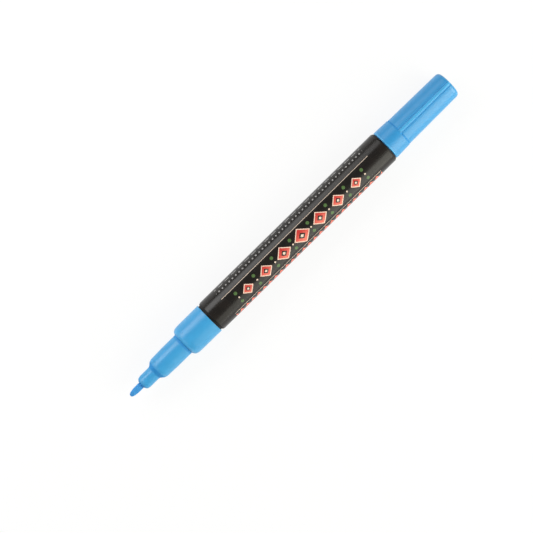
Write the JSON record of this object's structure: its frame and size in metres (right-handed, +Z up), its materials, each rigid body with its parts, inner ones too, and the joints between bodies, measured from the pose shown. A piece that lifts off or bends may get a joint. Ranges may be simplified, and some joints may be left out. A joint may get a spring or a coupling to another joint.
{
  "type": "liquid chalk marker",
  "caption": "Round liquid chalk marker: fibre nib fed by a press valve, labelled ink barrel with a mixing ball, and a ribbed push-on cap posted on the tail.",
  "frame": {"origin": "bottom centre of the marker's box, on the surface it lies on", "axes": "+X along the marker from nib to cap, +Z up"},
  "size_m": [0.1536, 0.0122, 0.0122],
  "materials": {
    "blue_plastic": "satin moulded",
    "black_plastic": "satin",
    "label_film": "satin printed film",
    "white_plastic": "satin",
    "nib_fibre": "pressed fibre soaked with pigment",
    "valve_rubber": "matt",
    "spring_steel": "drawn wire",
    "ball_steel": "polished"
  },
  "bodies": {
    "barrel": {"barrel": "black_plastic", "label_sleeve": "label_film", "tail_plug": "blue_plastic", "front_section": "blue_plastic", "valve_seat": "valve_rubber", "valve_case": "white_plastic", "valve_spring": "spring_steel"},
    "nib": {"nib": "nib_fibre", "valve_stem": "white_plastic"},
    "mixing_ball": {"mixing_ball": "ball_steel"},
    "cap": {"cap": "blue_plastic", "cap_inner_seal": "white_plastic"}
  },
  "joints": [
    {"name": "cap_pull", "type": "slide", "parent": "barrel", "child": "cap", "axis": [1, 0, 0], "range_m": [0, 0.014]},
    {"name": "nib_press", "type": "slide", "parent": "barrel", "child": "nib", "axis": [1, 0, 0], "range_m": [0, 0.0015], "stiffness_N_per_m": 600, "springref_m": -0.0015, "deforming": ["valve_spring"]},
    {"name": "ball_shake", "type": "slide", "parent": "barrel", "child": "mixing_ball", "axis": [1, 0, 0], "range_m": [-0.02665, 0.02665]}
  ]
}
